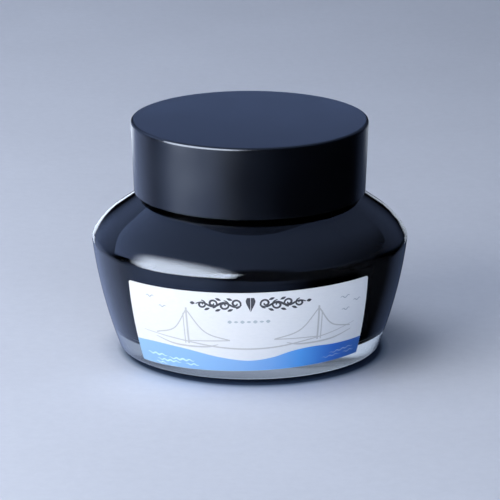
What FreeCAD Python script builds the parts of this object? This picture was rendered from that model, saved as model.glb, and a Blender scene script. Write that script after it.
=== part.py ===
import FreeCAD, Part
import math
import os

# A 50 ml ink bottle: wide glass jar with a threaded neck, ink, filling cup, screw cap and front label.
# Millimetres and degrees. +Z is up along the bottle's axis, the origin is the centre of the base, and
# the label faces -Y. Outlines are half-sections (r, z) that are turned about Z.

Vector = FreeCAD.Vector
AXIS = Vector(0, 0, 1)
ORIGIN = Vector(0, 0, 0)

# Driving dimensions: glass body
SIDE_FOOT_R = 26.85         # radius where the side, carried on down past the foot, meets the base plane
SIDE_LEAN_FOOT = 21.6       # outward lean of the side at the base
SIDE_LEAN_TOP = 7.3         # outward lean of the side at its top
SIDE_ARC_R = 98.3           # the side bulges gently between those two leans
BROW_R = 2.25               # rounding at the widest place
SHOULDER_STEEP = 58.8       # slope of the shoulder just above the rounding
SHOULDER_ARC_R = 15.1       # arc that eases the shoulder from steep to its final slope
SHOULDER_SLOPE = 35.1       # slope of the conical part of the shoulder
FOOT_R = 23.0               # the bottle stands on a low foot, set in under the side's lower edge
FOOT_H = 1.1
HEEL_R = 0.5                # rounding of the side's lower edge
FOOT_EDGE_R = 0.3           # rounding at the foot's outer edge, and of the corner above it
FOOT_RING_W = 2.0           # from the foot's rounded edge to the hollow; the bottle stands on this ring
PUSH_UP = 0.7               # height of the hollow under the base
WALL = 2.8
FLOOR_Z = 5.4               # top of the thick glass floor
FLOOR_CORNER_R = 4.0
INNER_BROW_R = 1.2

# Driving dimensions: neck finish, 6 turns to the inch
NECK_R = 19.8
BORE_R = 16.6
NECK_FILLET = 1.0
RIM_Z = 44.2
RIM_ROUND = 0.8
PITCH = 25.4 / 6
RUN_OUT_L = 2.4             # each end of a thread tapers over this length
RUN_OUT_TIP = 0.35          # to this share of its section
THREAD_R = 1.2              # the glass thread is a half-round ridge of this radius
THREAD_Z = 37.8             # height of the thread's lower end
THREAD_TURNS = 0.95

# Driving dimensions: filling cup
FLANGE_R = 18.8
FLANGE_T = 0.85
CUP_FIT = 0.15              # radial slack of the collar in the bore
CUP_WALL = 1.0
COLLAR_FOOT_Z = 39.4
CUP_TOP_R = 14.8
CUP_TOP_Z = 37.8
CUP_FOOT_R = 6.6
CUP_FOOT_Z = 7.6
CUP_CORNER_R = 2.5
WINDOWS = 4
WINDOW_W = 6.0
WINDOW_Z = (33.2, 36.6)
WINDOW_ROUND = 1.2
INK_LEVEL = 26.0

# Driving dimensions: cap
HEIGHT = 49.25              # overall height of the closed bottle
CAP_TOP_R = 24.8
CAP_FOOT_R = 24.15
CAP_FOOT_Z = 34.0
CAP_EDGE_R = 0.6
CAP_FOOT_ROUND = 0.3
SHELL_BORE_R = 22.9
SHELL_ROOF_T = 1.6
CLOSURE_R = 22.1
CLOSURE_BORE_R = 21.3
CLOSURE_FOOT_Z = 36.4
CLOSURE_ROOF_T = 1.3
CLOSURE_THREAD_R = 0.8
CLOSURE_THREAD_CREST_R = 20.15
CLOSURE_THREAD_Z = 37.3
CLOSURE_THREAD_TURNS = 1.05
RIBS = 24
RIB_W = 1.0
RIB_GAP = 0.02
LINER_R = 20.8
LINER_GAP = 0.05            # slack above and below the liner, so that the cap runs free

# Driving dimensions: front label
LABEL_T = 0.12
LABEL_TOP_Z = 21.7
LABEL_FOOT_Z = 3.4
LABEL_TOP_HALF = 24.4       # half-widths seen square from the front
LABEL_FOOT_HALF = 21.8
LABEL_TILT = 1.8            # put on crooked: the right-hand end is the higher

# Heights that follow from the above
SHELL_ROOF_Z = HEIGHT - SHELL_ROOF_T
CLOSURE_ROOF_Z = SHELL_ROOF_Z - CLOSURE_ROOF_T
FLANGE_TOP_Z = RIM_Z + FLANGE_T


class Outline:
    """A half-section drawn as straight runs and tangent bends. Heading 0 is outward, 90 is up."""

    def __init__(self, r, z, heading=0.0):
        self.at = Vector(r, 0, z)
        self.heading = math.radians(heading)
        self.edges = []

    def ahead(self, distance, turn=0.0):
        angle = self.heading + turn
        return self.at + Vector(math.cos(angle), 0, math.sin(angle)) * distance

    def run(self, distance):
        end = self.ahead(distance)
        self.run_to(end.x, end.z)

    def run_to(self, r, z):
        end = Vector(r, 0, z)
        self.edges.append(Part.LineSegment(self.at, end).toShape())
        self.heading = math.atan2(z - self.at.z, r - self.at.x)
        self.at = end

    def bend(self, radius, turn):
        """Turns left by `turn` degrees, or right if it is negative, and returns the bend's centre."""
        side = math.copysign(math.pi / 2, turn)
        centre = self.ahead(radius, side)
        start = self.at
        half = math.radians(turn) / 2
        chord = 2 * radius * abs(math.sin(half))
        middle = centre + spun(start - centre, half)
        end = self.ahead(chord, half)
        self.edges.append(Part.Arc(start, middle, end).toShape())
        self.at = end
        self.heading += 2 * half
        return centre

    def turned(self):
        """Closes the outline with a straight run and turns it about Z into a solid."""
        if (self.edges[0].Vertexes[0].Point - self.at).Length > 1e-6:
            first = self.edges[0].Vertexes[0].Point
            self.run_to(first.x, first.z)
        return Part.Face(Part.Wire(self.edges)).revolve(ORIGIN, AXIS, 360)


def spun(vector, angle):
    """The vector turned left by `angle` radians in the half-section's plane."""
    cos = math.cos(angle)
    sin = math.sin(angle)
    return Vector(vector.x * cos - vector.z * sin, 0, vector.x * sin + vector.z * cos)


def cylinder(radius, low, high):
    return Part.makeCylinder(radius, high - low, Vector(0, 0, low))


def ring_edges(solid, radius, z):
    """The circular edges of a turned solid at one radius and height."""
    found = []
    for edge in solid.Edges:
        box = edge.BoundBox
        flat = box.ZLength < 1e-4 and abs(box.ZMin - z) < 1e-3
        if flat and abs(box.XMax - radius) < 1e-3:
            found.append(edge)
    return found


def round_thread(path_r, ridge_r, low, turns, start_turn):
    """A right-handed ridge of round section, half sunk in the wall, with a tapered run-out at each end."""
    helix = Part.makeHelix(PITCH, PITCH * turns, path_r)
    start = Vector(path_r, 0, 0)
    along = Vector(0, path_r, PITCH / (2 * math.pi))
    section = Part.Wire(Part.makeCircle(ridge_r, start, along))
    ridge = Part.Wire(helix.Edges).makePipeShell([section], True, True)
    for turn, away in ((0, along * -1), (turns, along)):
        run_out = Part.makeCone(ridge_r, ridge_r * RUN_OUT_TIP, RUN_OUT_L, start, away)
        run_out.rotate(ORIGIN, AXIS, 360 * turn)
        run_out.translate(Vector(0, 0, PITCH * turn))
        ridge = ridge.fuse(run_out)
    ridge.translate(Vector(0, 0, low))
    ridge.rotate(ORIGIN, AXIS, 360 * start_turn)
    return ridge


def side_arc():
    """The side from the base plane up to the rounding at the widest place, and its arc's centre."""
    outline = Outline(SIDE_FOOT_R, 0, 90 - SIDE_LEAN_FOOT)
    centre = outline.bend(SIDE_ARC_R, SIDE_LEAN_FOOT - SIDE_LEAN_TOP)
    return outline, centre


def upper_body(outline, brow_r, shoulder_r, end_r):
    """From the side's top over the rounding and up the shoulder to radius end_r."""
    outline.bend(brow_r, SIDE_LEAN_TOP + 90 - SHOULDER_STEEP)
    outline.bend(shoulder_r, SHOULDER_STEEP - SHOULDER_SLOPE)
    outline.run((outline.at.x - end_r) / math.cos(math.radians(SHOULDER_SLOPE)))


def glass_outside():
    outline, centre = side_arc()
    upper_body(outline, BROW_R, SHOULDER_ARC_R, NECK_R)
    neck_foot_z = outline.at.z
    outline.run_to(NECK_R, RIM_Z)
    outline.run_to(0, RIM_Z)
    outline.run_to(0, 0)
    solid = outline.turned()
    lower_edge_r = centre.x + math.sqrt(SIDE_ARC_R ** 2 - (centre.z - FOOT_H) ** 2)
    solid = solid.cut(cylinder(SIDE_FOOT_R + FOOT_H, 0, FOOT_H).cut(cylinder(FOOT_R, 0, FOOT_H)))
    solid = solid.makeFillet(HEEL_R, ring_edges(solid, lower_edge_r, FOOT_H))
    solid = solid.makeFillet(FOOT_EDGE_R, ring_edges(solid, FOOT_R, 0) + ring_edges(solid, FOOT_R, FOOT_H))
    solid = solid.makeFillet(NECK_FILLET, ring_edges(solid, NECK_R, neck_foot_z))
    return solid.makeFillet(RIM_ROUND, ring_edges(solid, NECK_R, RIM_Z))


def glass_cavity():
    """The space inside the glass, with the bore, whose side is concentric with the outer side."""
    _, centre = side_arc()
    inner_r = SIDE_ARC_R - WALL
    foot_lean = math.degrees(math.asin((centre.z - FLOOR_Z) / inner_r))
    foot_r = centre.x + inner_r * math.cos(math.radians(foot_lean))
    outline = Outline(foot_r, FLOOR_Z, 90 - foot_lean)
    outline.bend(inner_r, foot_lean - SIDE_LEAN_TOP)
    upper_body(outline, INNER_BROW_R, SHOULDER_ARC_R - WALL, BORE_R)
    bore_foot_z = outline.at.z
    outline.run_to(BORE_R, RIM_Z)
    outline.run_to(0, RIM_Z)
    outline.run_to(0, FLOOR_Z)
    solid = outline.turned()
    solid = solid.makeFillet(FLOOR_CORNER_R, ring_edges(solid, foot_r, FLOOR_Z))
    return solid.makeFillet(NECK_FILLET, ring_edges(solid, BORE_R, bore_foot_z))


def base_hollow():
    """The shallow dome under the base, inside the foot ring."""
    edge_r = FOOT_R - FOOT_EDGE_R - FOOT_RING_W
    dome_r = (edge_r ** 2 + PUSH_UP ** 2) / (2 * PUSH_UP)
    dome = Part.makeSphere(dome_r, Vector(0, 0, PUSH_UP - dome_r))
    return dome.common(cylinder(edge_r + 1, 0, PUSH_UP + 1))


def make_glass_bottle():
    glass = glass_outside().cut(glass_cavity()).cut(base_hollow())
    thread = round_thread(NECK_R, THREAD_R, THREAD_Z, THREAD_TURNS, 0)
    return glass.fuse(thread)


def cup_outside():
    """The filling cup's outer shape with the cup's mouth filled in."""
    outline = Outline(0, CUP_FOOT_Z)
    outline.run_to(CUP_FOOT_R, CUP_FOOT_Z)
    outline.run_to(CUP_TOP_R, CUP_TOP_Z)
    outline.run_to(BORE_R - CUP_FIT, COLLAR_FOOT_Z)
    outline.run_to(BORE_R - CUP_FIT, RIM_Z)
    outline.run_to(FLANGE_R, RIM_Z)
    outline.run_to(FLANGE_R, FLANGE_TOP_Z)
    outline.run_to(0, FLANGE_TOP_Z)
    solid = outline.turned()
    return solid.makeFillet(CUP_CORNER_R, ring_edges(solid, CUP_FOOT_R, CUP_FOOT_Z))


def cup_inside():
    outline = Outline(0, CUP_FOOT_Z + CUP_WALL)
    outline.run_to(CUP_FOOT_R - CUP_WALL, CUP_FOOT_Z + CUP_WALL)
    outline.run_to(CUP_TOP_R - CUP_WALL, CUP_TOP_Z)
    outline.run_to(BORE_R - CUP_FIT - CUP_WALL, COLLAR_FOOT_Z)
    outline.run_to(BORE_R - CUP_FIT - CUP_WALL, FLANGE_TOP_Z)
    outline.run_to(0, FLANGE_TOP_Z)
    solid = outline.turned()
    corner = ring_edges(solid, CUP_FOOT_R - CUP_WALL, CUP_FOOT_Z + CUP_WALL)
    return solid.makeFillet(CUP_CORNER_R - CUP_WALL, corner)


def make_ink_reservoir():
    """A cup on a flange, with windows that let the ink in when the bottle is tipped over."""
    cup = cup_outside().cut(cup_inside())
    low, high = WINDOW_Z
    for index in range(WINDOWS):
        window = Part.makeBox(BORE_R, WINDOW_W, high - low, Vector(CUP_FOOT_R, -WINDOW_W / 2, low))
        long_edges = [edge for edge in window.Edges if edge.BoundBox.XLength > BORE_R / 2]
        window = window.makeFillet(WINDOW_ROUND, long_edges)
        window.rotate(ORIGIN, AXIS, 360 / WINDOWS * (index + 0.5))
        cup = cup.cut(window)
    return cup


def make_ink():
    """The ink in the jar round the filling cup, and the ink in the cup, at one level."""
    below = cylinder(2 * SIDE_FOOT_R, 0, INK_LEVEL)
    in_jar = glass_cavity().common(below).cut(cup_outside())
    in_cup = cup_inside().common(below)
    return Part.makeCompound([in_jar, in_cup])


def make_cap_shell():
    outline = Outline(0, HEIGHT)
    outline.run_to(CAP_TOP_R, HEIGHT)
    outline.run_to(CAP_FOOT_R, CAP_FOOT_Z)
    outline.run_to(SHELL_BORE_R, CAP_FOOT_Z)
    outline.run_to(SHELL_BORE_R, SHELL_ROOF_Z)
    outline.run_to(0, SHELL_ROOF_Z)
    shell = outline.turned()
    shell = shell.makeFillet(CAP_EDGE_R, ring_edges(shell, CAP_TOP_R, HEIGHT))
    return shell.makeFillet(CAP_FOOT_ROUND, ring_edges(shell, CAP_FOOT_R, CAP_FOOT_Z))


def make_cap_inner():
    """The threaded closure, with ribs outside that grip the shell's bore."""
    closure = cylinder(CLOSURE_R, CLOSURE_FOOT_Z, SHELL_ROOF_Z)
    for index in range(RIBS):
        rib = Part.makeBox(SHELL_BORE_R, RIB_W, SHELL_ROOF_Z - CLOSURE_FOOT_Z,
                           Vector(0, -RIB_W / 2, CLOSURE_FOOT_Z))
        rib.rotate(ORIGIN, AXIS, 360 / RIBS * index)
        closure = closure.fuse(rib)
    closure = closure.common(cylinder(SHELL_BORE_R - RIB_GAP, CLOSURE_FOOT_Z, SHELL_ROOF_Z))
    closure = closure.cut(cylinder(CLOSURE_BORE_R, CLOSURE_FOOT_Z, CLOSURE_ROOF_Z))
    # Half a pitch below the glass thread's line, so that each ridge runs in the other's groove.
    start_turn = (CLOSURE_THREAD_Z - THREAD_Z) / PITCH + 0.5
    path_r = CLOSURE_THREAD_CREST_R + CLOSURE_THREAD_R
    thread = round_thread(path_r, CLOSURE_THREAD_R, CLOSURE_THREAD_Z, CLOSURE_THREAD_TURNS, start_turn)
    return closure.fuse(thread)


def make_cap_liner():
    return cylinder(LINER_R, FLANGE_TOP_Z + LINER_GAP, CLOSURE_ROOF_Z - LINER_GAP)


def make_front_label():
    """A thin skin on the glass side, cut by a slightly turned four-cornered outline from the front."""
    side, centre = side_arc()
    skin = Outline(SIDE_FOOT_R, 0, 90 - SIDE_LEAN_FOOT)
    skin.at = centre + (skin.at - centre) * ((SIDE_ARC_R + LABEL_T) / SIDE_ARC_R)
    skin.bend(SIDE_ARC_R + LABEL_T, SIDE_LEAN_FOOT - SIDE_LEAN_TOP)
    ends = (side.edges[0].Vertexes, skin.edges[0].Vertexes)
    caps = [Part.LineSegment(ends[0][i].Point, ends[1][i].Point).toShape() for i in (0, 1)]
    section = Part.Face(Part.Wire(Part.sortEdges(side.edges + skin.edges + caps)[0]))
    band = section.revolve(ORIGIN, AXIS, 360)
    corners = [(-LABEL_TOP_HALF, LABEL_TOP_Z), (LABEL_TOP_HALF, LABEL_TOP_Z),
               (LABEL_FOOT_HALF, LABEL_FOOT_Z), (-LABEL_FOOT_HALF, LABEL_FOOT_Z)]
    outline = Part.makePolygon([Vector(x, 0, z) for x, z in corners + corners[:1]])
    window = Part.Face(outline).extrude(Vector(0, -2 * SIDE_FOOT_R, 0))
    middle = Vector(0, 0, (LABEL_TOP_Z + LABEL_FOOT_Z) / 2)
    window.rotate(middle, Vector(0, 1, 0), -LABEL_TILT)
    return band.common(window)


NODES = {
    "glass_bottle": make_glass_bottle,
    "ink_reservoir": make_ink_reservoir,
    "ink": make_ink,
    "front_label": make_front_label,
    "cap_shell": make_cap_shell,
    "cap_inner": make_cap_inner,
    "cap_liner": make_cap_liner,
}

os.makedirs("parts", exist_ok=True)
for name, make in NODES.items():
    shape = make()
    box = shape.BoundBox
    print("%-14s solids %d  valid %s  volume %8.1f mm3  z %.2f..%.2f  r %.2f"
          % (name, len(shape.Solids), shape.isValid(), shape.Volume, box.ZMin, box.ZMax, box.XMax))
    if not shape.Solids or not shape.isValid():
        raise SystemExit("%s is not a valid solid" % name)
    shape.exportStep("parts/%s.step" % name)
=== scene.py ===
"""Looks of the ink bottle: glass, ink, printed label and cap, on a pale floor in soft studio light."""

import math

import bmesh
import bpy
import numpy as np
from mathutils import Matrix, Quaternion, Vector
from mathutils.bvhtree import BVHTree


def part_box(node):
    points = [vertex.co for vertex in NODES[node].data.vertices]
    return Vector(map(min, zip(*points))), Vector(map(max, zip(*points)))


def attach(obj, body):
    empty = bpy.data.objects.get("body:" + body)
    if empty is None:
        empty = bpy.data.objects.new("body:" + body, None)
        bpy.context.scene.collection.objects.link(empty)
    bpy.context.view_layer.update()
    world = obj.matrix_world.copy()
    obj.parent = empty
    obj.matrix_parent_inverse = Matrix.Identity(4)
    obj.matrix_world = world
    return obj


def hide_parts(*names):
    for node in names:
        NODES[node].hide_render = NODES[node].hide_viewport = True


MM = 0.001

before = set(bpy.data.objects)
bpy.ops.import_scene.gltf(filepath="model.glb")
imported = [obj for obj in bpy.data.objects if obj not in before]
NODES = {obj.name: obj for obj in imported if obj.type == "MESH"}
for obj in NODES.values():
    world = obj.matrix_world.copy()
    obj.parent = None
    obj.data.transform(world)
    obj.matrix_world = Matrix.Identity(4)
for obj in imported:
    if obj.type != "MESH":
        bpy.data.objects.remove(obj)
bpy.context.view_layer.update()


# ---------------------------------------------------------------- reading the frame

# off the mesh's own seams, where a ray could slip between two faces: a way out from the axis, and a place
# just beside it
SIDEWAYS = Vector((math.cos(0.4), math.sin(0.4), 0))
NEAR_AXIS = Vector((1e-5, 2e-5, 0))


def tree(node):
    """The faces of a CAD node, to be met by rays."""
    mesh = NODES[node].data
    return BVHTree.FromPolygons([v.co for v in mesh.vertices], [p.vertices[:] for p in mesh.polygons])


def at_height(z):
    """The point on the axis at height z mm."""
    return Vector((0, 0, z * MM))


def outer_radius(bvh, z):
    """Radius, in mm, of the outside of a turned node at height z mm."""
    hit = bvh.ray_cast(SIDEWAYS + at_height(z), -SIDEWAYS)[0]
    return math.hypot(hit.x, hit.y) / MM


def inner_radius(bvh, z):
    """Radius, in mm, of the bore of a turned node at height z mm."""
    hit = bvh.ray_cast(at_height(z), SIDEWAYS)[0]
    return math.hypot(hit.x, hit.y) / MM


def floor_height(bvh, start, up=False):
    """Height, in mm, of the face met along the axis from a start height in mm."""
    return bvh.ray_cast(NEAR_AXIS + at_height(start), Vector((0, 0, 1 if up else -1)))[0].z / MM


glass_tree, cup_tree = tree("glass_bottle"), tree("ink_reservoir")
INK_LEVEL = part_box("ink")[1].z / MM
CAVITY_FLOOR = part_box("ink")[0].z / MM


# ---------------------------------------------------------------- meshes

LATHE_STEPS = 192
SHARP_ANGLE = 40


def piece(name, verts, faces, body, slot, mat):
    """A mesh from points in mm, which rides on a body."""
    mesh = bpy.data.meshes.new(name)
    mesh.from_pydata([tuple(c * MM for c in v) for v in verts], [], faces)
    bm = bmesh.new()
    bm.from_mesh(mesh)
    bmesh.ops.recalc_face_normals(bm, faces=bm.faces)
    bm.to_mesh(mesh)
    bm.free()
    mesh.shade_smooth()
    mesh.set_sharp_from_angle(angle=math.radians(SHARP_ANGLE))
    mesh.materials.append(mat)
    obj = bpy.data.objects.new(name, mesh)
    bpy.context.scene.collection.objects.link(obj)
    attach(obj, body)
    return obj


def lathe(outline):
    """Points and faces of a solid turned from an outline of (r, z) that starts and ends on the axis."""
    count = LATHE_STEPS
    angles = [2 * math.pi * k / count for k in range(count)]
    verts = [(0, 0, outline[0][1])]
    for r, z in outline[1:-1]:
        verts += [(r * math.cos(a), r * math.sin(a), z) for a in angles]
    verts.append((0, 0, outline[-1][1]))
    faces, rings = [], len(outline) - 2
    last = 1 + (rings - 1) * count
    for k in range(count):
        n = (k + 1) % count
        faces.append((0, 1 + n, 1 + k))
        faces.append((len(verts) - 1, last + k, last + n))
        for i in range(rings - 1):
            a = 1 + i * count
            faces.append((a + k, a + n, a + count + n, a + count + k))
    return verts, faces


def merged(parts):
    """Several (verts, faces) as one."""
    verts, faces = [], []
    for v, f in parts:
        faces += [tuple(i + len(verts) for i in face) for face in f]
        verts += v
    return verts, faces


def offset(line, distance):
    """A line of (r, z) points moved sideways; positive is to the right of its direction."""
    p = np.array(line, float)
    d = np.gradient(p, axis=0)
    d /= np.linalg.norm(d, axis=1)[:, None]
    return [tuple(q) for q in p + distance * np.stack([d[:, 1], -d[:, 0]], axis=1)]


# ---------------------------------------------------------------- shader nodes

def material(name, **inputs):
    """A new material and its Principled shader, with the constants set on the shader's own sockets."""
    mat = bpy.data.materials.new(name)
    mat.use_nodes = True
    shader = mat.node_tree.nodes["Principled BSDF"]
    for key, value in inputs.items():
        socket = shader.inputs[key.replace("_", " ")]
        socket.default_value = (*value, 1) if isinstance(value, tuple) else value
    return mat, shader


def link(owner, source, node, socket):
    owner.node_tree.links.new(source, node.inputs[socket])


def add(owner, kind, feeds=None, **settings):
    """A new node of a material or world, with its settings, and its sockets fed as feeds says."""
    node = owner.node_tree.nodes.new(kind)
    for key, value in settings.items():
        if key in node.inputs:
            node.inputs[key].default_value = value
        else:
            setattr(node, key, value)
    for socket, source in (feeds or {}).items():
        link(owner, source, node, socket)
    return node


def maths(owner, operation, first, second, clamp=False):
    """The result of an operation on two values."""
    node = add(owner, "ShaderNodeMath", {0: first, 1: second}, operation=operation, use_clamp=clamp)
    return node.outputs[0]


def map_range(owner, source, low, high, at_low=0.0, at_high=1.0, kind="LINEAR"):
    """A value that goes from at_low to at_high as the source goes from low to high."""
    limits = {"From Min": low, "From Max": high, "To Min": at_low, "To Max": at_high}
    node = add(owner, "ShaderNodeMapRange", {"Value": source}, interpolation_type=kind, **limits)
    return node.outputs["Result"]


def blend(owner, share, first, second):
    """A shader that goes from the first to the second as the share goes from 0 to 1."""
    return add(owner, "ShaderNodeMixShader", {0: share, 1: first, 2: second}).outputs[0]


def noise(mat, scale, detail=3.0, roughness=0.5, stretch=(1, 1, 1)):
    """Noise in object space; scale counts waves per metre."""
    place = add(mat, "ShaderNodeTexCoord").outputs["Object"]
    mapping = add(mat, "ShaderNodeMapping", {"Vector": place}, Scale=stretch)
    tex = add(mat, "ShaderNodeTexNoise", {"Vector": mapping.outputs["Vector"]},
              Scale=scale, Detail=detail, Roughness=roughness)
    return tex.outputs["Fac"]


def ramp(mat, source, stops):
    """Colour ramp over a 0 to 1 value; stops are (place, colour or grey)."""
    node = add(mat, "ShaderNodeValToRGB", {"Fac": source})
    band = node.color_ramp
    while len(band.elements) < len(stops):
        band.elements.new(0.5)
    for element, (place, colour) in zip(band.elements, stops):
        element.position = place
        element.color = (*colour, 1) if isinstance(colour, tuple) else (colour, colour, colour, 1)
    return node.outputs["Color"]


def bump(mat, shader, source, depth_mm):
    """Dents the shader's surface by up to a depth, as a value goes from 0 to 1."""
    node = add(mat, "ShaderNodeBump", {"Height": source}, Distance=depth_mm * MM, Strength=1.0)
    link(mat, node.outputs["Normal"], shader, "Normal")


def along(mat, axis, low, high):
    """0 to 1 along an object axis, between two places in mm."""
    place = add(mat, "ShaderNodeTexCoord").outputs["Object"]
    split = add(mat, "ShaderNodeSeparateXYZ", {0: place})
    return map_range(mat, split.outputs[axis], low * MM, high * MM)


# ---------------------------------------------------------------- materials

GLASS_INDEX, INK_INDEX = 1.5, 1.34
# the step between the two, for the ink's own faint shine under the glass
INK_STEP = 1.12
GLASS_TINT = (0.97, 0.985, 0.99)
PAPER_SHINE = 0.35


def moulded_plastic(name, dark, light, rough, grain_mm, **inputs):
    """Plastic with a faint cloud in its colour and finish, and a fine moulded grain."""
    mat, shader = material(name, **inputs)
    cloud = noise(mat, 90, detail=4)
    link(mat, ramp(mat, cloud, [(0.3, dark), (0.7, light)]), shader, "Base Color")
    link(mat, ramp(mat, cloud, [(0.3, rough[0]), (0.7, rough[1])]), shader, "Roughness")
    bump(mat, shader, noise(mat, 2600, detail=2), grain_mm)
    return mat


def clear_glass():
    mat, shader = material("clear_glass", Base_Color=GLASS_TINT, Transmission_Weight=1.0, IOR=GLASS_INDEX)
    swirl = noise(mat, 38, detail=2, stretch=(1, 1, 0.6))
    polish = ramp(mat, swirl, [(0.3, 0.0), (0.8, 0.012)])
    # the foot keeps the mould's matt skin, which fades out up the lowest few millimetres
    skin = ramp(mat, along(mat, "Z", 1.0, 6.0), [(0.0, 0.30), (0.2, 0.16), (0.6, 0.08), (1.0, 0.0)])
    link(mat, maths(mat, "MAXIMUM", polish, skin), shader, "Roughness")
    bump(mat, shader, swirl, 0.012)
    return mat


def ink_liquid():
    mat, shader = material("blue_black_ink", IOR=INK_STEP)
    cloud = noise(mat, 60, detail=2)
    link(mat, ramp(mat, cloud, [(0.3, (0.0010, 0.0016, 0.0040)), (0.7, (0.0016, 0.0024, 0.0060))]),
         shader, "Base Color")
    link(mat, ramp(mat, cloud, [(0.3, 0.04), (0.7, 0.10)]), shader, "Roughness")
    # against the glass, the ink's lower index turns slanting light back into the glass
    mirror = add(mat, "ShaderNodeBsdfGlossy", Color=(*GLASS_TINT, 1), Roughness=0.02)
    turned = add(mat, "ShaderNodeFresnel", IOR=INK_INDEX / GLASS_INDEX)
    surface = blend(mat, turned.outputs[0], shader.outputs[0], mirror.outputs[0])
    link(mat, surface, mat.node_tree.nodes["Material Output"], "Surface")
    return mat


def coated_paper():
    mat, shader = material("label_paper", Specular_IOR_Level=PAPER_SHINE)
    fibre = noise(mat, 900, detail=5, roughness=0.65, stretch=(1, 1, 2.5))
    white = ramp(mat, fibre, [(0.3, (0.86, 0.87, 0.89)), (0.7, (0.90, 0.905, 0.92))])
    link(mat, white, shader, "Base Color")
    link(mat, ramp(mat, fibre, [(0.3, 0.52), (0.7, 0.62)]), shader, "Roughness")
    bump(mat, shader, fibre, 0.006)
    return mat


def print_material(name):
    """Printed ink without its colour, and the paper's fibre, which shows through a little."""
    mat, shader = material(name, Specular_IOR_Level=PAPER_SHINE)
    fibre = noise(mat, 1300, detail=4)
    link(mat, ramp(mat, fibre, [(0.3, 0.42), (0.7, 0.55)]), shader, "Roughness")
    bump(mat, shader, fibre, 0.004)
    return mat, shader, fibre


def printing(name, colour, spread=0.06):
    """Printed ink of one colour, a little paler on some of the fibre."""
    mat, shader, fibre = print_material(name)
    light = tuple(c + spread * (1 - c) for c in colour)
    link(mat, ramp(mat, fibre, [(0.35, colour), (0.75, light)]), shader, "Base Color")
    return mat


def wave_printing(low, high):
    """The band's blue deepens from left to right."""
    mat, shader, _ = print_material("wave_print")
    blue = ramp(mat, along(mat, "X", low, high), [
        (0.0, (0.32, 0.55, 0.80)), (0.45, (0.28, 0.52, 0.89)), (0.60, (0.23, 0.49, 0.94)),
        (0.74, (0.105, 0.41, 0.96)), (0.90, (0.038, 0.18, 0.70)), (1.0, (0.045, 0.17, 0.56))])
    link(mat, blue, shader, "Base Color")
    return mat


def dress(node, mat):
    """Gives a carried-over CAD node its material."""
    data = NODES[node].data
    data.materials.clear()
    data.materials.append(mat)


dress("glass_bottle", clear_glass())
dress("cap_shell", moulded_plastic("gloss_black_plastic", (0.0008, 0.0010, 0.0018), (0.0013, 0.0017, 0.0028),
                                   (0.20, 0.26), 0.0012))
dress("cap_inner", moulded_plastic("black_plastic", (0.020, 0.020, 0.022), (0.032, 0.032, 0.035),
                                   (0.42, 0.52), 0.004))
dress("cap_liner", moulded_plastic("liner_foam", (0.80, 0.80, 0.76), (0.88, 0.88, 0.85), (0.55, 0.70), 0.03))
dress("ink_reservoir", moulded_plastic("natural_plastic", (0.74, 0.76, 0.77), (0.84, 0.86, 0.87),
                                       (0.35, 0.45), 0.006, Subsurface_Weight=0.15, Subsurface_Scale=0.002))


# ---------------------------------------------------------------- ink, in mm

# how far the liquid reaches into the wall it wets, so that no air shows between them
WALL_OVERLAP = 0.05
FLOOR_CORNER = 4.0
FILM_TOP, FILM_T = 34.2, 0.15
# the height to which the surface climbs, and how far from the wall the climb has died away
GLASS_RISE, GLASS_RUN = 1.1, 2.6
CUP_RISE, CUP_RUN = 0.7, 1.8


def climb(r, wall, rise, run):
    """Height of the liquid at radius r, near a wall."""
    return INK_LEVEL + rise * math.exp(-abs(wall - r) / run * 3)


def jar_wall():
    """The inside of the glass, from the rounded corner of the cavity's floor to the top of the film."""
    heights = [CAVITY_FLOOR + FLOOR_CORNER * (1 - math.cos(t)) for t in np.linspace(0.08, math.pi / 2, 10)]
    heights += list(np.arange(heights[-1] + 0.7, FILM_TOP, 0.35))
    return [(inner_radius(glass_tree, z), z) for z in heights]


def ink_in_jar():
    """Outline of the ink round the filling cup, with the film that it leaves on the glass above."""
    wall = jar_wall()
    outside = offset([(wall[0][0] - 2, CAVITY_FLOOR)] + wall, WALL_OVERLAP)
    film = offset([p for p in wall if p[1] > INK_LEVEL + GLASS_RISE + 0.4], -FILM_T)[::-1]
    edge = inner_radius(glass_tree, INK_LEVEL + GLASS_RISE) - FILM_T
    cup_r = outer_radius(cup_tree, INK_LEVEL)
    surface = []
    for r in np.linspace(edge, cup_r - WALL_OVERLAP, 28):
        surface.append((r, max(climb(r, edge, GLASS_RISE, GLASS_RUN), climb(r, cup_r, CUP_RISE, CUP_RUN))))
    cup_foot = floor_height(cup_tree, 0, up=True)
    heights = np.linspace(INK_LEVEL - 0.5, cup_foot + 0.4, 14)
    cup = [(outer_radius(cup_tree, z) - WALL_OVERLAP, z) for z in heights]
    return [(0, outside[0][1])] + outside + film + surface + cup + [(0, cup_foot + WALL_OVERLAP)]


def ink_in_cup():
    """Outline of the ink inside the filling cup."""
    cup_floor = floor_height(cup_tree, INK_LEVEL)
    heights = np.linspace(cup_floor + 0.3, INK_LEVEL - 0.5, 14)
    bore = [(inner_radius(cup_tree, z) + WALL_OVERLAP, z) for z in heights]
    bore_r = inner_radius(cup_tree, INK_LEVEL)
    surface = [(r, climb(r, bore_r, CUP_RISE, CUP_RUN)) for r in np.linspace(bore_r + WALL_OVERLAP, 0.5, 16)]
    return [(0, cup_floor - WALL_OVERLAP)] + bore + surface + [(0, INK_LEVEL)]


ink_mesh = merged([lathe(ink_in_jar()), lathe(ink_in_cup())])
ink = piece("ink_fill", *ink_mesh, "bottle", "blue_black_ink", ink_liquid())
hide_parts("ink")


# ---------------------------------------------------------------- label, in mm

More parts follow.
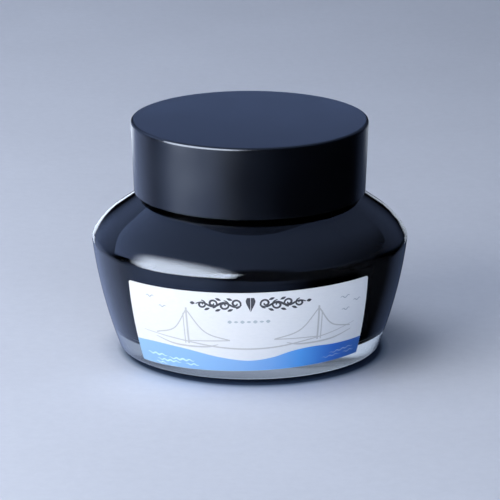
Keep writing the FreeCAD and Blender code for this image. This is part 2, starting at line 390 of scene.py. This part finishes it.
# corners of the sheet: azimuth in degrees from the front, height
TOP_LEFT, TOP_RIGHT = (-49.4, 20.6), (47.4, 21.8)
FOOT_LEFT, FOOT_RIGHT = (-51.5, 2.5), (50.4, 4.2)
SHEET_W, SHEET_H = 54.0, 18.9
SHEET_CORNER = 0.45
PAPER_T, PAPER_SUNK = 0.12, 0.03
PRINT_T, PRINT_SUNK = 0.012, 0.02

# the bottle's side as a smooth curve, radius over height, so that the sheet has none of the mesh's facets
side_heights = np.linspace(1.5, 23.0, 60)
SIDE = np.polyfit(side_heights, [outer_radius(glass_tree, z) for z in side_heights], 4)
SIDE_SLOPE = np.polyder(SIDE)


def on_side(u, v, lift):
    """The point on the bottle's side at (u, v) on the sheet, lifted off the glass along its normal."""
    s, t = u / SHEET_W + 0.5, v / SHEET_H
    left = np.array(FOOT_LEFT) * (1 - t) + np.array(TOP_LEFT) * t
    right = np.array(FOOT_RIGHT) * (1 - t) + np.array(TOP_RIGHT) * t
    azimuth, z = left * (1 - s) + right * s
    tilt = math.atan(np.polyval(SIDE_SLOPE, z))
    r = np.polyval(SIDE, z) + lift * math.cos(tilt)
    a = math.radians(azimuth)
    return (r * math.sin(a), -r * math.cos(a), z - lift * math.sin(tilt))


def slab(grid, low, high):
    """A closed sheet over a grid of (u, v) points, between two lifts."""
    n, m = len(grid), len(grid[0])
    verts = [on_side(u, v, lift) for lift in (low, high) for row in grid for u, v in row]
    faces = []
    for i in range(n - 1):
        for j in range(m - 1):
            a, b, c, d = i * m + j, i * m + j + 1, (i + 1) * m + j + 1, (i + 1) * m + j
            faces += [(a, b, c, d), tuple(n * m + k for k in (d, c, b, a))]
    rim = list(range(m)) + [i * m + m - 1 for i in range(1, n)]
    rim += [(n - 1) * m + j for j in range(m - 2, -1, -1)] + [i * m for i in range(n - 2, 0, -1)]
    for a, b in zip(rim, rim[1:] + rim[:1]):
        faces.append((a, b, b + n * m, a + n * m))
    return verts, faces


def printed(name, grids, mat, layer):
    """Printed areas on the paper; a higher layer lies over a lower one."""
    slabs = [slab(grid, PAPER_T - PRINT_SUNK, PAPER_T + PRINT_T * layer) for grid in grids]
    return piece(name, *merged(slabs), "bottle", "label_paper", mat)


def sheet_grid():
    """The whole sheet, with rounded corners."""
    corner = SHEET_CORNER
    rows = []
    for v in sorted({*np.linspace(0, SHEET_H, 46), *np.linspace(0, corner, 6),
                     *np.linspace(SHEET_H - corner, SHEET_H, 6)}):
        depth = min(v, SHEET_H - v)
        inset = 0 if depth >= corner else corner - math.sqrt(max(corner ** 2 - (corner - depth) ** 2, 0))
        half = SHEET_W / 2 - inset
        rows.append([(u, v) for u in np.linspace(-half, half, 140)])
    return rows


paper_mesh = slab(sheet_grid(), -PAPER_SUNK, PAPER_T)
paper = piece("label_sheet", *paper_mesh, "bottle", "label_paper", coated_paper())
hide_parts("front_label")


# ---------------------------------------------------------------- drawing on the label

def smooth_line(points, count):
    """A smooth line through given points (Catmull-Rom)."""
    p = np.array([points[0], *points, points[-1]], float)
    p[0], p[-1] = 2 * p[1] - p[2], 2 * p[-2] - p[-3]
    line = []
    for x in np.linspace(0, len(points) - 1, count):
        i = min(int(x), len(points) - 2)
        t = x - i
        a, b, c, d = p[i:i + 4]
        line.append(0.5 * (2 * b + (c - a) * t + (2 * a - 5 * b + 4 * c - d) * t ** 2
                           + (3 * b - a - 3 * c + d) * t ** 3))
    return np.array(line)


def stroke(line, width, ends=1.0):
    """A ribbon along a line; width at the middle and, as a share of it, at the ends."""
    line = np.array(line, float)
    d = np.gradient(line, axis=0)
    d /= np.maximum(np.linalg.norm(d, axis=1), 1e-9)[:, None]
    sideways = np.stack([-d[:, 1], d[:, 0]], axis=1)
    t = np.linspace(0, 1, len(line))
    half = 0.5 * width * (ends + (1 - ends) * np.sin(math.pi * t) ** 0.8)
    return [[tuple(q - s * h), tuple(q + s * h)] for q, s, h in zip(line, sideways, half)]


def leaf(x, y, length, width, degrees):
    """A pointed oval."""
    c, s = math.cos(math.radians(degrees)), math.sin(math.radians(degrees))
    rows = []
    for t in np.linspace(0, 1, 13):
        along_it = (t - 0.5) * length
        half = 0.5 * width * max(math.sin(math.pi * t) ** 0.9, 0.02)
        rows.append([(x + along_it * c - k * half * s, y + along_it * s + k * half * c) for k in (-1, 0, 1)])
    return rows


def curl(x, y, radius, turns, start, way, width):
    """A spiral stroke that winds in to its centre."""
    line = []
    for t in np.linspace(0, 1, 40):
        a = math.radians(start) + way * 2 * math.pi * turns * t
        r = radius * (1 - 0.82 * t)
        line.append((x + r * math.cos(a), y + r * math.sin(a)))
    return stroke(line, width, ends=0.45)


# ---------------------------------------------------------------- the wave band and its ripples

CREST = [(-27, 5.3), (-21, 5.5), (-13.5, 4.9), (-6, 3.4), (0, 2.6), (5, 3.1), (9.5, 4.3), (14, 4.7),
         (20, 4.3), (27, 4.2)]
BAND_EDGE = 0.04
BAND_ROWS = 8
# half the band's width, seen from the front
BAND_X = 21.5
RIPPLE_WAVE, RIPPLE_HEIGHT = 1.6, 0.17
# x, y, length, width and, on the right, the rise from end to end
RIPPLES_LEFT = [(-21.6, 2.5, 5.6, 0.40), (-15.2, 2.1, 6.4, 0.42), (-18.6, 1.35, 6.4, 0.36),
                (-12.6, 1.15, 3.2, 0.28), (-20.8, 0.55, 3.2, 0.24)]
RIPPLES_RIGHT = [(21.6, 2.35, 6.4, 0.24, 0.5), (19.0, 1.35, 4.8, 0.20, 0.2), (23.8, 1.5, 3.2, 0.18, 0.2)]


def band_grid():
    """From the sheet's lower edge up to the crest, and just short of its sides."""
    crest = smooth_line(CREST, 150) * [[0.999, 1]]
    return [[(u, BAND_EDGE + (top - BAND_EDGE) * k / BAND_ROWS) for u, top in crest]
            for k in range(BAND_ROWS + 1)]


def ripple(x, y, length, width, rise=0.0):
    """A line of small waves that thins out at both ends."""
    waves = round(length / RIPPLE_WAVE)
    line = []
    for t in np.linspace(0, 1, 14 * waves + 1):
        swell = RIPPLE_HEIGHT * math.sin(2 * math.pi * waves * t)
        line.append((x + length * (t - 0.5), y + rise * (t - 0.5) + swell))
    return stroke(line, width, ends=0.1)


printed("label_wave_band", [band_grid()], wave_printing(-BAND_X, BAND_X), 1)
printed("label_ripples_left", [ripple(*place) for place in RIPPLES_LEFT],
        printing("pale_cyan_print", (0.66, 0.90, 0.96)), 2)
printed("label_ripples_right", [ripple(*place) for place in RIPPLES_RIGHT],
        printing("pale_blue_print", (0.38, 0.52, 0.80)), 2)


# ---------------------------------------------------------------- the picture, in faint grey line

SHORE = [(-24, 8.1), (-19, 7.6), (-13, 6.9), (-6, 5.9), (0, 5.5), (6, 5.7), (12, 6.5), (18, 7.4), (24, 8.8)]
GULLS = [(21.0, 15.2, 2.4), (24.2, 13.9, 2.0), (21.4, 12.2, 2.1), (-21.2, 16.3, 2.0), (-18.2, 14.4, 1.8)]


def boat(x, y, height, reach, front):
    """Mast and stay, two hollow-cut sails, boom and hull. front is +1 where the bow is to the right."""

    def at(ahead, up):
        return (x + front * ahead, y + up)

    share = np.linspace(0, 1, 12)
    top = at(0, height)
    main = smooth_line([top, at(-reach * 0.42, height * 0.38), at(-reach, 1.2)], 26)
    jib = smooth_line([top, at(reach * 0.34, height * 0.42), at(reach * 0.86, 1.7)], 26)
    mast = [at(0, t * (height + 0.5)) for t in share]
    stay = [at(0.75, t * (height - 0.9)) for t in share]
    boom = [at(-reach * t, 0.7 + 0.5 * t) for t in share]
    hull = smooth_line([at(-reach * 0.72, 0.15), at(-reach * 0.4, -0.55), at(reach * 0.35, -0.5),
                        at(reach * 0.9, 0.75)], 22)
    lines = [(main, 0.28), (jib, 0.28), (mast, 0.40), (stay, 0.24), (boom, 0.24)]
    return [stroke(line, width) for line, width in lines] + [stroke(hull, 0.40, ends=0.3)]


def gull(x, y, span):
    """Two wings in one stroke."""
    wing = smooth_line([(-0.5, 0.10), (-0.28, 0.20), (0, 0), (0.28, 0.22), (0.5, 0.14)], 17)
    return stroke([(x + span * u, y + span * v) for u, v in wing], 0.2, ends=0.3)


boats = boat(-12.7, 6.4, 8.1, 9.0, -1) + boat(14.9, 6.4, 7.7, 9.4, 1)
shore = stroke(smooth_line(SHORE, 60), 0.34, ends=0.3)
printed("label_picture", boats + [shore], printing("grey_line_print", (0.60, 0.60, 0.60)), 1)
printed("label_gulls", [gull(*place) for place in GULLS], printing("grey_bird_print", (0.45, 0.48, 0.53)), 1)


# ---------------------------------------------------------------- the heading: a nib between two scrolls

HEADING_AT = (0.7, 16.15)
DOTS_X, DOTS_Y, DOT_PITCH = 0.3, 12.1, 1.3
SLIT = 0.1
STEM_START, STEM_LENGTH, STEM_SWAY = 1.8, 9.4, 0.55
# x, y, radius, start in degrees, way round
SCROLL_CURLS = [(2.95, 0.30, 1.15, -90, -1), (5.35, -0.15, 1.15, 90, 1),
                (7.65, 0.25, 1.05, -90, -1), (9.95, -0.05, 0.95, 90, 1)]
# x, y, degrees
SCROLL_LEAVES = [(4.1, -1.25, -24), (6.5, 1.25, 24), (8.85, -1.10, -24), (4.2, 1.3, 20), (6.6, -1.3, -20)]


def nib(height, width):
    """A pen nib, point down, as two halves with the slit between them."""
    outline = smooth_line([(0.0, 0.0), (0.16, 0.22), (0.42, 0.55), (0.5, 0.78), (0.36, 1.0)], 18)
    halves = []
    for k in (-1, 1):
        rows = []
        for w, h in outline:
            reach = (width - SLIT) * max(w, 0.02)
            rows.append([(k * (SLIT / 2 + reach * j / 2), height * (h - 0.5)) for j in (0, 1, 2)])
        halves.append(rows)
    return halves


def scroll(k):
    """The scroll on one side of the nib; k is -1 or 1."""
    stem = []
    for t in np.linspace(0, 1, 70):
        sway = -STEM_SWAY * math.sin(2 * math.pi * 2 * t) * (1 - 0.35 * t)
        stem.append((k * (STEM_START + STEM_LENGTH * t), sway))
    parts = [stroke(stem, 0.50, ends=0.4)]
    for x, y, r, start, way in SCROLL_CURLS:
        parts.append(curl(k * x, y, r, 1.3, start if k > 0 else 180 - start, way * k, 0.44))
    for x, y, degrees in SCROLL_LEAVES:
        parts.append(leaf(k * x, y, 1.3, 0.55, k * degrees))
    parts.append(leaf(k * 11.9, 0.1, 1.1, 0.7, k * 8))
    return parts


def moved(grid, to):
    """A grid drawn about (0, 0), put at a place on the sheet."""
    return [[(u + to[0], v + to[1]) for u, v in row] for row in grid]


heading = nib(3.3, 1.9) + scroll(-1) + scroll(1)
printed("label_heading", [moved(grid, HEADING_AT) for grid in heading],
        printing("dark_grey_print", (0.055, 0.055, 0.065), spread=0.03), 1)
dots = [leaf(DOTS_X + k * DOT_PITCH, DOTS_Y, 0.95, 0.75 if k % 2 else 0.45, 0) for k in range(-3, 4)]
printed("label_dots", dots, printing("pale_grey_print", (0.52, 0.58, 0.62)), 1)


# ---------------------------------------------------------------- floor

FLOOR_SIZE = 4.0
# a painted contact shadow on the floor: a dark ring round the foot, centred a little right of and in front
# of the axis
PAINTED_SHADOW_CENTRE = (0.8, -0.7, 0)
PAINTED_SHADOW_REACH = 40.0
PAINTED_SHADOW_COLOUR = (0.045, 0.070, 0.120)


def painted_gap_shadow(mat):
    """A painted shadow: the floor's colour darkened in a ring round the foot, where the gap under the
    bottle's edge keeps the light out.
    """
    place = add(mat, "ShaderNodeTexCoord").outputs["Object"]
    reach = add(mat, "ShaderNodeVectorMath", {0: place}, operation="DISTANCE")
    reach.inputs[1].default_value = [c * MM for c in PAINTED_SHADOW_CENTRE]
    shares = map_range(mat, reach.outputs["Value"], 0, PAINTED_SHADOW_REACH * MM)
    # by distance in mm: clear under the base, painted shadow in the gap, then a soft painted edge
    stops = [(22.0, 1.0), (23.2, PAINTED_SHADOW_COLOUR), (26.6, PAINTED_SHADOW_COLOUR), (27.4, (0.42, 0.50, 0.60)),
             (28.8, (0.85, 0.88, 0.92)), (32.8, 1.0)]
    return ramp(mat, shares, [(distance / PAINTED_SHADOW_REACH, shade) for distance, shade in stops])


def studio_floor():
    """Pale matt cloth, with painted shade: a little darker to the right and to the back, as the light falls
    off, and a painted shadow round the bottle's foot.
    """
    mat, shader = material("floor_cloth", Specular_IOR_Level=0.1)
    fine = noise(mat, 420, detail=6, roughness=0.7)
    broad = noise(mat, 26, detail=3)
    colour = ramp(mat, fine, [(0.25, (0.590, 0.625, 0.735)), (0.75, (0.640, 0.675, 0.785))])
    tone_and_painted_shades = [ramp(mat, broad, [(0.3, 0.965), (0.7, 1.0)]),
              # painted shade: the cloth's colour falls off to the right and to the back, as the light does
              ramp(mat, along(mat, "X", -60, 110), [(0.0, 1.0), (1.0, 0.81)]),
              ramp(mat, along(mat, "Y", -40, 400), [(0.0, 1.0), (1.0, 0.83)]),
              painted_gap_shadow(mat)]
    for shade in tone_and_painted_shades:
        product = add(mat, "ShaderNodeMix", data_type="RGBA", blend_type="MULTIPLY")
        product.inputs["Factor"].default_value = 1.0
        link(mat, colour, product, "A")
        link(mat, shade, product, "B")
        colour = product.outputs["Result"]
    link(mat, colour, shader, "Base Color")
    link(mat, ramp(mat, fine, [(0.3, 0.75), (0.7, 0.9)]), shader, "Roughness")
    bump(mat, shader, fine, 0.05)
    return mat


bpy.ops.mesh.primitive_plane_add(size=FLOOR_SIZE, location=(0, 0, 0))
ground = bpy.context.object
ground.name = "studio_floor"
ground.data.materials.append(studio_floor())
ground.visible_glossy = False


# ---------------------------------------------------------------- lights, in metres

AIM = Vector((0, 0, 0.03))


def direction(azimuth, elevation):
    """Unit vector; azimuth is 0 at the front (-Y), positive to the right, in degrees."""
    a, e = math.radians(azimuth), math.radians(elevation)
    return Vector((math.sin(a) * math.cos(e), -math.cos(a) * math.cos(e), math.sin(e)))


def facing(place, roll=0):
    """The turn that faces the bottle from a place, rolled about that line in degrees."""
    turn = (AIM - place).to_track_quat("-Z", "Y")
    return (turn @ Quaternion((0, 0, 1), math.radians(roll))).to_euler()


def hide_from(obj, *rays):
    """Takes an object out of the sight of some kinds of ray."""
    for ray in rays:
        setattr(obj, "visible_" + ray, False)


def soft_light(name, azimuth, elevation, distance, size, radiance, colour):
    """A rectangular soft light that lights matt surfaces; reflections see the glow panels instead."""
    light = bpy.data.lights.new(name, "AREA")
    light.shape = "RECTANGLE"
    light.size, light.size_y = size
    light.energy = radiance * math.pi * size[0] * size[1]
    light.color = colour
    obj = bpy.data.objects.new(name, light)
    obj.location = direction(azimuth, elevation) * distance
    obj.rotation_euler = facing(obj.location)
    bpy.context.scene.collection.objects.link(obj)
    hide_from(obj, "camera", "glossy", "transmission")


def reflected_only(owner):
    """1 for a reflected ray. Rays that pass through glass count as glossy too, so they are taken off."""
    path = add(owner, "ShaderNodeLightPath").outputs
    return maths(owner, "SUBTRACT", path["Is Glossy Ray"], path["Is Transmission Ray"], clamp=True)


def glow_material(name, colour, shine, fades):
    """A panel's glow: clear for every ray but a reflected one, and fading out at its four sides."""
    mat = bpy.data.materials.new(name)
    mat.use_nodes = True
    mat.node_tree.nodes.clear()
    mat.cycles.emission_sampling = "NONE"
    place = add(mat, "ShaderNodeTexCoord").outputs["Generated"]
    within = add(mat, "ShaderNodeSeparateXYZ", {0: place}).outputs
    low_x, high_x, low_y, high_y = fades
    cover = reflected_only(mat)
    for axis, *limits in (("X", 0, low_x, 0, 1), ("X", 1 - high_x, 1, 1, 0),
                          ("Y", 0, low_y, 0, 1), ("Y", 1 - high_y, 1, 1, 0)):
        edge = map_range(mat, within[axis], *limits, kind="SMOOTHSTEP")
        cover = maths(mat, "MULTIPLY", cover, edge)
    strength = map_range(mat, within["X"], 0, 1, *shine, kind="SMOOTHSTEP")
    glow = add(mat, "ShaderNodeEmission", {"Strength": strength}, Color=(*colour, 1))
    clear = add(mat, "ShaderNodeBsdfTransparent")
    surface = blend(mat, cover, clear.outputs[0], glow.outputs[0])
    add(mat, "ShaderNodeOutputMaterial", {"Surface": surface})
    return mat


def glow_panel(name, place, turn, size, colour, shine, fades):
    """A glowing panel that only reflections see. shine is its radiance at low and high local X, and fades
    are the shares of its width and height over which it dies away: low X, high X, low Y, high Y."""
    bpy.ops.mesh.primitive_plane_add(size=1.0)
    panel = bpy.context.object
    panel.name = name
    panel.scale = (*size, 1)
    panel.location = place
    panel.rotation_euler = turn
    panel.data.materials.append(glow_material(name, colour, shine, fades))
    hide_from(panel, "camera", "diffuse", "transmission", "shadow")


DEEP_BLUE, CLEAR_BLUE, BACK_BLUE = (0.42, 0.59, 1.10), (0.52, 0.66, 1.08), (0.45, 0.65, 1.27)
KEY_WHITE, RIM_WHITE = (0.76, 0.86, 1.04), (0.80, 0.90, 1.08)
UPRIGHT = (math.radians(90), 0, 0)

# the key on the left, a weaker fill in front and a third light high on the left
soft_light("key", -50, 27, 0.75, (0.6, 0.5), 4.45, (1.0, 0.97, 0.88))
soft_light("fill", 8, 22, 0.9, (0.6, 0.5), 1.75, (0.79, 0.905, 1.07))
soft_light("top", -110, 70, 0.75, (0.5, 0.5), 3.1, (0.88, 0.91, 0.94))

# what reflections see of the key is a large soft box, which makes the bright streak on the rounded edge
key_place = direction(-52, 24) * 0.4
glow_panel("key_face", key_place, facing(key_place, roll=9), (0.73, 0.50), KEY_WHITE, (17.5, 17.5),
           (0.27, 0.15, 0.17, 0.25))
# the shoulder mirrors a wide panel overhead, and the cap's top two small ones behind the bottle, of which
# the lower one brightens the back of the cap's top
glow_panel("overhead_face", (-0.1, 0.17, 0.5), (0, 0, math.radians(3)), (2.3, 1.18), DEEP_BLUE, (1.5, 0.03),
           (0.03, 0.03, 0.05, 0.02))
glow_panel("back_face", (0, 0.16, 0.10), UPRIGHT, (0.09, 0.13), BACK_BLUE, (0.20, 0.20),
           (0.15, 0.15, 0.1, 0.15))
glow_panel("back_low_face", (0, 0.155, 0.075), UPRIGHT, (0.09, 0.056), BACK_BLUE, (0.48, 0.48),
           (0.15, 0.15, 0.1, 0.4))
# two panels low behind the bottle draw the thin light line down each side
for azimuth, radiance in ((-160, 2.1), (160, 0.75)):
    rim_place = direction(azimuth, -4.5) * 0.5
    glow_panel("rim_face", rim_place, facing(rim_place), (0.21, 0.115), RIM_WHITE, (radiance, radiance),
               (0.1, 0.1, 0.1, 0.25))


# ---------------------------------------------------------------- surround

SURROUND, SURROUND_LEVEL = (0.74, 0.88, 1.12), 0.56
# how much the level falls towards +X, and the share of it that matt surfaces get
SURROUND_LEAN, SURROUND_ON_MATT = -0.26, 0.49
# soft glows seen in reflections: azimuth, elevation, spread in degrees, level, colour
GLOWS = [(-140, -32, 42, 0.93, CLEAR_BLUE), (-64, -27, 46, 1.35, DEEP_BLUE), (0, -60, 45, 0.75, DEEP_BLUE),
         (-138, 16, 30, 0.6, DEEP_BLUE), (145, 24, 30, 0.2, DEEP_BLUE), (152, -24, 24, 0.15, DEEP_BLUE)]


def soft_glow(world, way, azimuth, elevation, spread, level, colour):
    """A round glow of the sky, brightest at its middle."""
    towards = add(world, "ShaderNodeVectorMath", {0: way}, operation="DOT_PRODUCT")
    towards.inputs[1].default_value = direction(azimuth, elevation)
    rim = math.cos(math.radians(spread))
    lobe = map_range(world, towards.outputs["Value"], rim, 1.0, 0.0, level, kind="SMOOTHSTEP")
    glow = add(world, "ShaderNodeVectorMath", operation="SCALE")
    glow.inputs[0].default_value = colour
    link(world, lobe, glow, "Scale")
    return glow.outputs[0]


def all_glows(world, way):
    """The dark room that reflections see, with its soft glows."""
    total, *others = [soft_glow(world, way, *glow) for glow in GLOWS]
    for glow in others:
        total = add(world, "ShaderNodeVectorMath", {0: total, 1: glow}, operation="ADD").outputs[0]
    return add(world, "ShaderNodeBackground", {"Color": total}).outputs[0]


def even_surround(world, way, path):
    """A pale surround, brighter on the left, of which matt surfaces get only a share."""
    split = add(world, "ShaderNodeSeparateXYZ", {0: way})
    lean = add(world, "ShaderNodeMath", {0: split.outputs["X"]}, operation="MULTIPLY_ADD")
    lean.inputs[1].default_value = SURROUND_LEAN
    lean.inputs[2].default_value = SURROUND_LEVEL
    share = map_range(world, path["Is Diffuse Ray"], 0.0, 1.0, 1.0, SURROUND_ON_MATT)
    even = world.node_tree.nodes["Background"]
    even.inputs["Color"].default_value = (*SURROUND, 1)
    link(world, maths(world, "MULTIPLY", lean.outputs[0], share), even, "Strength")
    return even.outputs[0]


def studio_world():
    """An even pale surround, and for reflections a dark room with a few soft glows."""
    world = bpy.data.worlds.new("studio")
    world.use_nodes = True
    way = add(world, "ShaderNodeTexCoord").outputs["Generated"]
    path = add(world, "ShaderNodeLightPath").outputs
    room = blend(world, reflected_only(world), even_surround(world, way, path), all_glows(world, way))
    # the floor gets none of the surround through the glass, so the bottle's shadow stays deep
    through_glass = maths(world, "MULTIPLY", path["Diffuse Depth"], path["Is Transmission Ray"], clamp=True)
    dark = add(world, "ShaderNodeBackground", Strength=0.0)
    surface = blend(world, through_glass, room, dark.outputs[0])
    link(world, surface, world.node_tree.nodes["World Output"], "Surface")
    bpy.context.scene.world = world


studio_world()


# ---------------------------------------------------------------- camera

CAMERA_CENTRE = Vector((0, 0, 0.025))
CAMERA_DISTANCE, CAMERA_ELEVATION = 0.8, 15.83
CAMERA_PITCH, CAMERA_YAW = 16.117, 0.0045

scene = bpy.context.scene
scene.view_settings.view_transform = "Standard"

lens = bpy.data.cameras.new("camera")
lens.sensor_width = 36.0
lens.lens = 275.0
camera = bpy.data.objects.new("camera", lens)
camera.location = CAMERA_CENTRE + direction(0, CAMERA_ELEVATION) * CAMERA_DISTANCE
camera.rotation_euler = (math.radians(90 - CAMERA_PITCH), 0, math.radians(-CAMERA_YAW))
scene.collection.objects.link(camera)
scene.camera = camera
